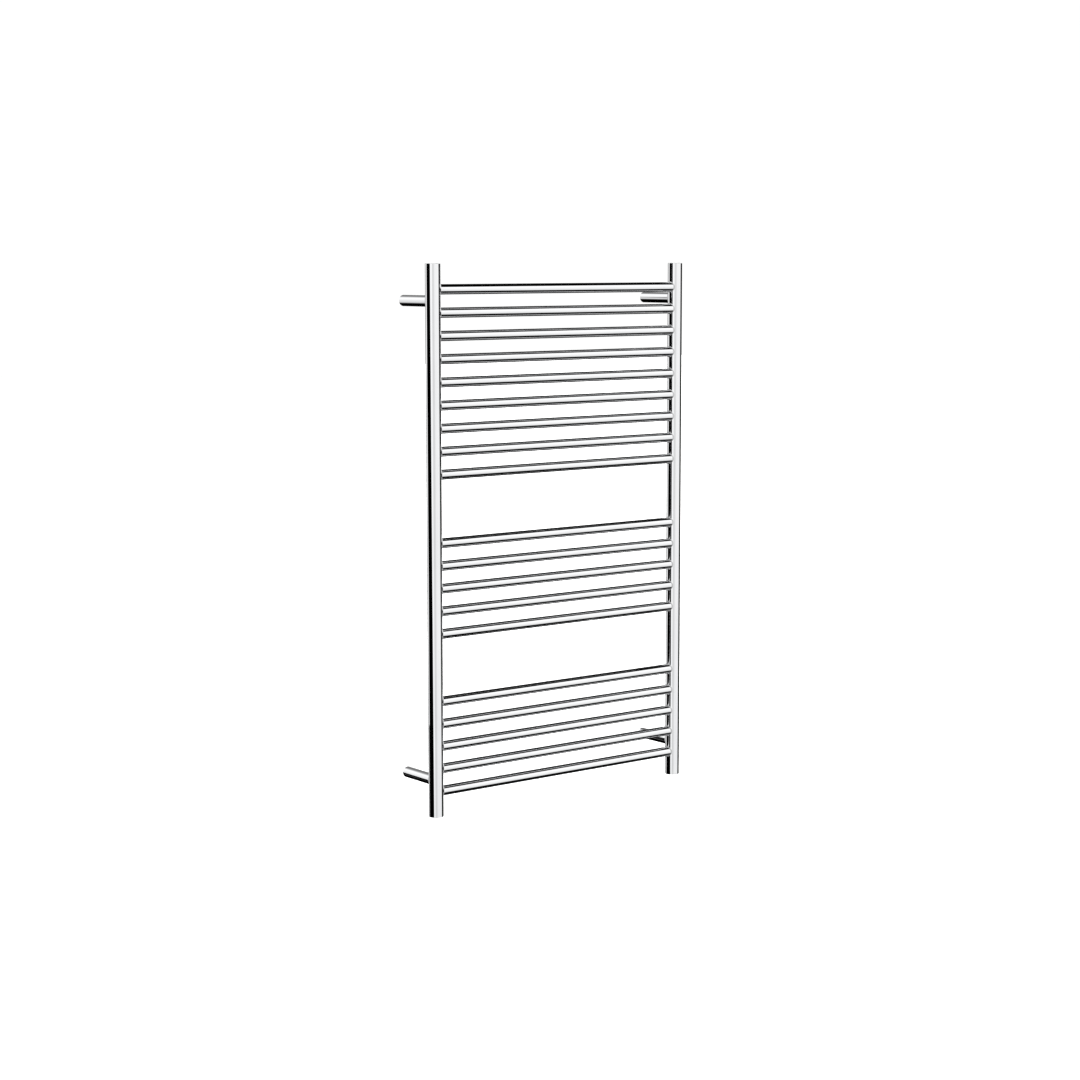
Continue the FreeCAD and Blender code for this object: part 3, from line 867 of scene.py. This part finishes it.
def fillet_section(branch_radius, angle, number):
    """The closed section of a concave fillet at one angle round a branch along local +X."""
    leg = weld_leg(angle, number)
    side = branch_radius * math.sin(angle)
    height = branch_radius * math.cos(angle)
    arc = POST_RADIUS * math.asin(side / POST_RADIUS)
    arc_slope = POST_RADIUS * height / math.sqrt(POST_RADIUS**2 - side**2)
    outward = Vector((side, arc_slope)).normalized()
    seam = on_post(arc, height)
    toe = on_post(arc + outward.x * leg, height + outward.y * leg)
    toe_angle = (arc + outward.x * leg) / POST_RADIUS
    along_arc = Vector((-math.sin(toe_angle), math.cos(toe_angle), 0))
    toe_pull = toe - (along_arc * outward.x + Z_AXIS * outward.y) * leg * FILLET_PULL
    crest = seam + X_AXIS * leg
    crest_pull = crest - X_AXIS * leg * FILLET_PULL
    points = []
    for step in range(FILLET_STEPS + 1):
        part = step / FILLET_STEPS
        rest = 1 - part
        points.append(
            toe * rest**3
            + toe_pull * 3 * rest**2 * part
            + crest_pull * 3 * rest * part**2
            + crest * part**3
        )
    points.append(seam)
    points.append(on_post(arc + outward.x * leg / 2, height + outward.y * leg / 2))
    return points


def add_weld(mesh, branch_radius, number, placement):
    """One ring of weld metal where a branch tube leaves a post."""
    sections = []
    for index in range(WELD_SEGMENTS):
        angle = 2 * math.pi * index / WELD_SEGMENTS
        sections.append(fillet_section(branch_radius, angle, number))
    add_loft(mesh, sections, True, placement)


def make_bar_welds(side):
    """The rings round every rung at one post."""
    node = f"bar_welds_{side}"
    across = centre_of(f"post_{side}").x
    turn = Matrix.Rotation(0 if side == "left" else math.pi, 4, "Z")
    rings = bmesh.new()
    for number, height in enumerate(BAR_HEIGHTS):
        place = moved_to(across, POST_ALONG, height) @ turn
        add_weld(rings, BAR_RADIUS, number, place)
    data = finish_mesh(rings, f"{node}_fillets", WELD_CREASE)
    add_piece(f"{node}_fillets", data, [node], RACK, WELD)


def make_bracket_welds():
    """The rings round the four bracket sleeves."""
    turn = Matrix.Rotation(math.pi / 2, 4, "Z")
    rings = bmesh.new()
    for number, (level, side) in enumerate(BRACKETS):
        sleeve = centre_of(f"bracket_sleeve_{level}_{side}")
        place = moved_to(sleeve.x, POST_ALONG, sleeve.z) @ turn
        add_weld(rings, SLEEVE_RADIUS, number, place)
    data = finish_mesh(rings, "bracket_welds_fillets", WELD_CREASE)
    add_piece("bracket_welds_fillets", data, ["bracket_welds"], RACK, WELD)


# --- wall brackets ------------------------------------------------------------------------------

SLEEVE_STATIONS = 6


def make_sleeve(level, side):
    """A bracket tube coped onto the post, with the set screw's hole underneath."""
    node = f"bracket_sleeve_{level}_{side}"
    low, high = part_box(node)
    across = (low.x + high.x) / 2
    height = (low.z + high.z) / 2
    inner = SLEEVE_RADIUS - SLEEVE_WALL
    screw = centre_of(f"grub_screw_{level}_{side}")

    def cope(radius, angle):
        reach = radius * math.sin(angle)
        return POST_ALONG + math.sqrt(POST_RADIUS**2 - reach**2)

    sections = []
    for index in range(SLEEVE_SEGMENTS):
        angle = 2 * math.pi * index / SLEEVE_SEGMENTS
        outer_end = cope(SLEEVE_RADIUS, angle)
        outline = [
            (inner, high.y, True),
            (SLEEVE_RADIUS, high.y, True),
        ]
        for station in range(1, SLEEVE_STATIONS):
            along = high.y + (outer_end - high.y) * station / SLEEVE_STATIONS
            outline.append((SLEEVE_RADIUS, along, False))
        outline.append((SLEEVE_RADIUS, outer_end, False))
        outline.append((inner, cope(inner, angle), False))
        section = []
        for radius, along in rounded(outline, SLEEVE_EDGE, EDGE_STEPS):
            x = across + radius * math.sin(angle)
            z = height + radius * math.cos(angle)
            section.append(Vector((x, along, z)))
        sections.append(section)
    blank = bmesh.new()
    add_loft(blank, sections, True)
    data = finish_mesh(blank, f"{node}_blank")

    def add_hole(cutters):
        place = moved_to(across, screw.y, height) @ turned_to(-Z_AXIS)
        profile = rod(GRUB_HOLE_RADIUS, 2 * SLEEVE_RADIUS)
        add_loft(cutters, lathe(profile, SCREW_SEGMENTS), False, place)

    data = cut(data, f"{node}_tube", add_hole)
    axis = Vector((across, 0, height))
    cylinders = [
        (axis, Y_AXIS, SLEEVE_RADIUS),
        (axis, Y_AXIS, inner),
        (Vector((across, POST_ALONG, 0)), Z_AXIS, POST_RADIUS),
        (Vector((across, screw.y, 0)), Z_AXIS, GRUB_HOLE_RADIUS),
    ]
    shade_round(data, cylinders)
    add_piece(f"{node}_tube", data, [node], RACK, STEEL_ALONG_Y)


GROOVE_DEPTH = 1.5 * MM
GROOVE_HALF = 3.5 * MM
FIXING_HOLE_RADIUS = 2.75 * MM
FIXING_HEAD_RADIUS = 5.2 * MM
SPIGOT_NOSE = 0.6 * MM
SPIGOT_EDGE = 0.25 * MM
SPIGOT_CREASE = 30
CHANNEL_WIDTH = 7.5 * MM
CHANNEL_FLOOR = 4.85 * MM


def make_spigot(level, side):
    """A turned wall spigot: countersunk hole, clamping groove and softened edges."""
    node = f"wall_spigot_{level}_{side}"
    low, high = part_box(node)
    across = (low.x + high.x) / 2
    height = centre_of(f"bracket_sleeve_{level}_{side}").z
    radius = (high.x - low.x) / 2
    length = high.y - low.y
    groove = high.y - centre_of(f"grub_screw_{level}_{side}").y
    sink = FIXING_HEAD_RADIUS - FIXING_HOLE_RADIUS
    outline = [
        (FIXING_HOLE_RADIUS, 0, True),
        (radius, 0, True),
        (radius, groove - GROOVE_HALF, True),
        (radius - GROOVE_DEPTH, groove - GROOVE_HALF, True),
        (radius - GROOVE_DEPTH, groove + GROOVE_HALF, True),
        (radius, groove + GROOVE_HALF, True),
        (radius, length - SPIGOT_NOSE, False),
        (radius - SPIGOT_NOSE, length, False),
        (FIXING_HEAD_RADIUS, length, False),
        (FIXING_HOLE_RADIUS, length - sink, False),
    ]
    profile = rounded(outline, SPIGOT_EDGE, EDGE_STEPS)
    place = moved_to(across, high.y, height) @ turned_to(-Y_AXIS)
    blank = bmesh.new()
    add_loft(blank, lathe(profile, SLEEVE_SEGMENTS), True, place)
    data = finish_mesh(blank, f"{node}_turned", SPIGOT_CREASE)
    if (level, side) == WIRED:

        def add_channel(cutters):
            tall = SLEEVE_RADIUS - CHANNEL_FLOOR
            middle = Vector((across, high.y, height + CHANNEL_FLOOR + tall / 2))
            add_box(cutters, middle, (CHANNEL_WIDTH, 3 * length, tall))

        data = cut(data, f"{node}_milled", add_channel)
        axis = Vector((across, 0, height))
        radii = (radius, radius - GROOVE_DEPTH, FIXING_HOLE_RADIUS)
        shade_round(data, [(axis, Y_AXIS, size) for size in radii], SPIGOT_CREASE)
    add_piece(f"{node}_turned", data, [node], RACK, TURNED)


THREAD_PITCH = 0.8 * MM
THREAD_DEPTH = 0.42 * MM
THREAD_STEP = 0.08 * MM
THREAD_MARGIN = 0.05 * MM
THREAD_FLAT = 0.12
THREAD_FLANK = 0.76
START_DEPTH = 0.45 * MM
FACE_INSET = 0.5 * MM
SOCKET_HALF = 1.25 * MM
SOCKET_DEPTH = 2.0 * MM
SOCKET_CONE = 0.3 * MM
SOCKET_MOUTH = 1.5 * MM
SOCKET_CHAMFER = 0.2 * MM
CUP_RADIUS = 1.5 * MM
CUP_DEPTH = 0.35 * MM
CUP_RIM = 0.2 * MM
POINT_SLOPE = 1.05
SCREW_CREASE = 28


def hexagon(angle):
    """How far the socket's wall is from its axis in one direction."""
    sector = math.pi / 3
    return SOCKET_HALF / math.cos((angle + sector / 2) % sector - sector / 2)


def make_grub_screw(level, side):
    """A socket set screw with its real thread, a hexagon socket and a cup point."""
    node = f"grub_screw_{level}_{side}"
    low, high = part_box(node)
    centre = (low + high) / 2
    radius = (high.x - low.x) / 2
    length = high.z - low.z

    def thread(height):
        def reach(angle):
            phase = (height / THREAD_PITCH - angle / (2 * math.pi)) % 1.0
            slope = min(max((abs(2 * phase - 1) - THREAD_FLAT) / THREAD_FLANK, 0.0), 1.0)
            start = radius - START_DEPTH + height
            point = CUP_RADIUS + (length - height) * POINT_SLOPE
            return min(radius - THREAD_DEPTH * slope, start, point)

        return reach

    loops = [[Vector((0, 0, SOCKET_DEPTH + SOCKET_CONE))]]
    loops.append(circle(hexagon, SOCKET_DEPTH, SCREW_SEGMENTS))
    loops.append(circle(hexagon, SOCKET_CHAMFER, SCREW_SEGMENTS))
    loops.append(circle(SOCKET_MOUTH, 0, SCREW_SEGMENTS))
    loops.append(circle(radius - FACE_INSET, 0, SCREW_SEGMENTS))
    for index in range(int((length - 2 * THREAD_MARGIN) / THREAD_STEP) + 1):
        height = THREAD_MARGIN + index * THREAD_STEP
        loops.append(circle(thread(height), height, SCREW_SEGMENTS))
    loops.append(circle(CUP_RADIUS, length, SCREW_SEGMENTS))
    loops.append(circle(CUP_RADIUS - CUP_RIM, length, SCREW_SEGMENTS))
    loops.append([Vector((0, 0, length - CUP_DEPTH))])
    screw = bmesh.new()
    place = moved_to(centre.x, centre.y, low.z)
    add_loft(screw, loops, False, place)
    data = finish_mesh(screw, f"{node}_threaded", SCREW_CREASE)
    add_piece(f"{node}_threaded", data, [node], f"{node}_body", SCREW)


# --- heating element and wiring -----------------------------------------------------------------

CABLE_RADIUS = 2.5 * MM
SHRUNK_STEPS = 24
SHRUNK_END = 0.9 * MM
SHRUNK_MARGIN = 0.15 * MM
SHRUNK_RIPPLE = 0.012
SHRUNK_WAVES = 9
SHRUNK_CREASE = 50


def make_fitting(node, waist):
    """A sleeve shrunk over a part of the cable: tapered ends and a slightly drawn-in middle."""
    low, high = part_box(node)
    centre = (low + high) / 2
    radius = (high.x - low.x) / 2
    length = high.z - low.z
    profile = [(0, 0), (CABLE_RADIUS, 0)]
    for step in range(SHRUNK_STEPS + 1):
        part = step / SHRUNK_STEPS
        end = min(part, 1 - part) * length
        rise = 1 - math.exp(-end / SHRUNK_END)
        dent = waist * math.sin(math.pi * part) ** 2
        wave = math.sin(SHRUNK_WAVES * math.pi * part) * math.sin(math.pi * part)
        ripple = SHRUNK_RIPPLE * wave
        fullness = rise * (1 - dent + ripple) / (1 + SHRUNK_RIPPLE)
        size = CABLE_RADIUS + (radius - CABLE_RADIUS) * fullness
        profile.append((size, SHRUNK_MARGIN + part * (length - 2 * SHRUNK_MARGIN)))
    profile += [(CABLE_RADIUS, length), (0, length)]
    sleeve = bmesh.new()
    place = moved_to(centre.x, centre.y, low.z)
    add_loft(sleeve, lathe(profile, SCREW_SEGMENTS), False, place)
    data = finish_mesh(sleeve, f"{node}_sleeve", SHRUNK_CREASE)
    add_piece(f"{node}_sleeve", data, [node], RACK, FITTING)


GROMMET_BORE = 2.8 * MM
GROMMET_LIP = 1.5 * MM
GROMMET_INNER_LIP = 7.0 * MM
GROMMET_EDGE = 0.6 * MM
GROMMET_STEPS = 5
GROMMET_SEGMENTS = 64
GROMMET_CREASE = 40


def make_grommet():
    """The moulded rubber grommet with softened lips."""
    node = "wire_grommet"
    low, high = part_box(node)
    centre = (low + high) / 2
    outer = (high.x - low.x) / 2
    depth = high.y - low.y
    hub = WIRE_HOLE_RADIUS - FIT_GAP
    outline = [
        (GROMMET_BORE, 0, True),
        (outer, 0, True),
        (outer, GROMMET_LIP, True),
        (hub, GROMMET_LIP, False),
        (hub, depth - GROMMET_LIP, False),
        (GROMMET_INNER_LIP, depth - GROMMET_LIP, True),
        (GROMMET_INNER_LIP, depth, True),
        (GROMMET_BORE, depth, True),
    ]
    profile = rounded(outline, GROMMET_EDGE, GROMMET_STEPS)
    place = moved_to(centre.x, high.y, centre.z) @ turned_to(-Y_AXIS)
    grommet = bmesh.new()
    add_loft(grommet, lathe(profile, GROMMET_SEGMENTS), True, place)
    data = finish_mesh(grommet, f"{node}_moulding", GROMMET_CREASE)
    add_piece(f"{node}_moulding", data, [node], RACK, RUBBER)


PORT_RADIUS = 1.5 * MM
PORT_PITCH = 4.2 * MM
PORT_DEPTH = 9.0 * MM
PORT_FUNNEL = 0.45 * MM
PORT_POINT = 0.4 * MM
BLOCK_EDGE = 0.5 * MM
POLE_GROOVE = (0.6 * MM, 0.8 * MM)
OVERSHOOT = 0.5 * MM


def make_terminal_block():
    """The three-pole block: softened edges, funnelled ports and a groove between the poles."""
    node = "terminal_block"
    low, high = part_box(node)
    centre = (low + high) / 2
    span = high - low
    block = bmesh.new()
    add_box(block, centre, span)
    bmesh.ops.bevel(
        block,
        geom=block.edges[:],
        offset=BLOCK_EDGE,
        segments=EDGE_STEPS,
        profile=0.5,
        affect="EDGES",
    )
    data = finish_mesh(block, f"{node}_blank")

    def add_ports(cutters):
        for pole in (-1, 0, 1):
            middle = centre.x + pole * PORT_PITCH
            place = moved_to(middle, high.y + OVERSHOOT, centre.z) @ turned_to(-Y_AXIS)
            drill = [
                (0, 0),
                (PORT_RADIUS + PORT_FUNNEL, 0),
                (PORT_RADIUS + PORT_FUNNEL, OVERSHOOT),
                (PORT_RADIUS, OVERSHOOT + PORT_FUNNEL),
                (PORT_RADIUS, OVERSHOOT + PORT_DEPTH),
                (0, OVERSHOOT + PORT_DEPTH + PORT_POINT),
            ]
            add_loft(cutters, lathe(drill, SCREW_SEGMENTS), False, place)
        width, depth = POLE_GROOVE
        for pole in (-0.5, 0.5):
            for face in (low.z, high.z):
                middle = Vector((centre.x + pole * PORT_PITCH, centre.y, face))
                add_box(cutters, middle, (width, 2 * span.y, depth))

    data = cut(data, f"{node}_moulding", add_ports)
    shade(data)
    add_piece(f"{node}_moulding", data, [node], RACK, TERMINAL)


def dress_cable(node, material):
    """Keeps a cable's CAD mesh and gives it its sheath."""
    cable = bpy.data.objects[node]
    cable.data.materials.clear()
    cable.data.materials.append(material)


# --- the whole rack -----------------------------------------------------------------------------

for side in SIDES:
    make_post(side)
    make_bar_welds(side)
    for end in ENDS:
        make_cap(end, side)
for bar in BARS:
    make_bar(bar)
make_bracket_welds()
for level, side in BRACKETS:
    make_sleeve(level, side)
    make_spigot(level, side)
    make_grub_screw(level, side)
make_terminal_block()
make_grommet()
make_fitting("thermal_cutout", waist=0.02)
make_fitting("cable_splice", waist=0.12)
make_fitting("cable_end_seal", waist=0.06)
dress_cable("heating_cable", HEATING)
dress_cable("cold_lead", LEAD)
